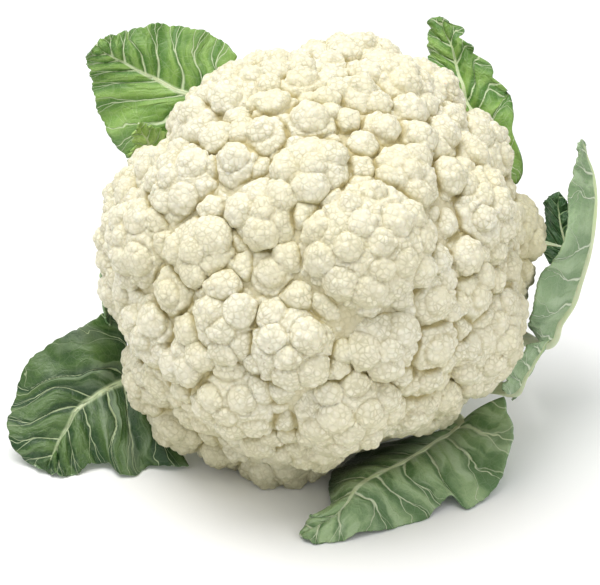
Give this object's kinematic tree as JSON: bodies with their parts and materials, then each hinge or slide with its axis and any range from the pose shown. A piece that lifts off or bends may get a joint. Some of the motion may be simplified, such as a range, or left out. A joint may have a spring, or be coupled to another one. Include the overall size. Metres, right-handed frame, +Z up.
{
  "type": "cauliflower",
  "caption": "Head of cauliflower lying tilted on its cut stalk, with crowded cream florets and trimmed green leaves round it.",
  "frame": {"origin": "bottom centre of the bounding box, at the surface that the head rests on", "axes": "+Z up; the head's crown leans towards -Y, 50 degrees above the surface, and +X is to the right seen from -Y"},
  "size_m": [0.2386, 0.1846, 0.1628],
  "materials": {
    "curd": "matte, fine-grained cream florets",
    "stalk": "satin pale green stalk",
    "leaf": "satin green leaf",
    "leaf_pale": "matte grey-green underside of a leaf",
    "rib": "satin pale green stem and midrib"
  },
  "bodies": {
    "root": {"curd": "curd", "stalk": "stalk", "leaf_top_left": "leaf", "leaf_small_left": "leaf", "leaf_top_right": "leaf", "leaf_right_back": "leaf", "leaf_right": "leaf_pale", "leaf_right_low": "leaf_pale", "leaf_bottom_right": "leaf", "leaf_bottom_left": "leaf", "leaf_back_top": "leaf", "leaf_back_left": "leaf", "rib_top_left": "rib", "rib_small_left": "rib", "rib_top_right": "rib", "rib_right_back": "rib", "rib_right": "rib", "rib_right_low": "rib", "rib_bottom_right": "rib", "rib_bottom_left": "rib", "rib_back_top": "rib", "rib_back_left": "rib", "stub_front": "rib", "stub_left": "rib", "stub_back": "rib", "stub_back_left": "rib", "stub_back_right": "rib"}
  },
  "joints": []
}
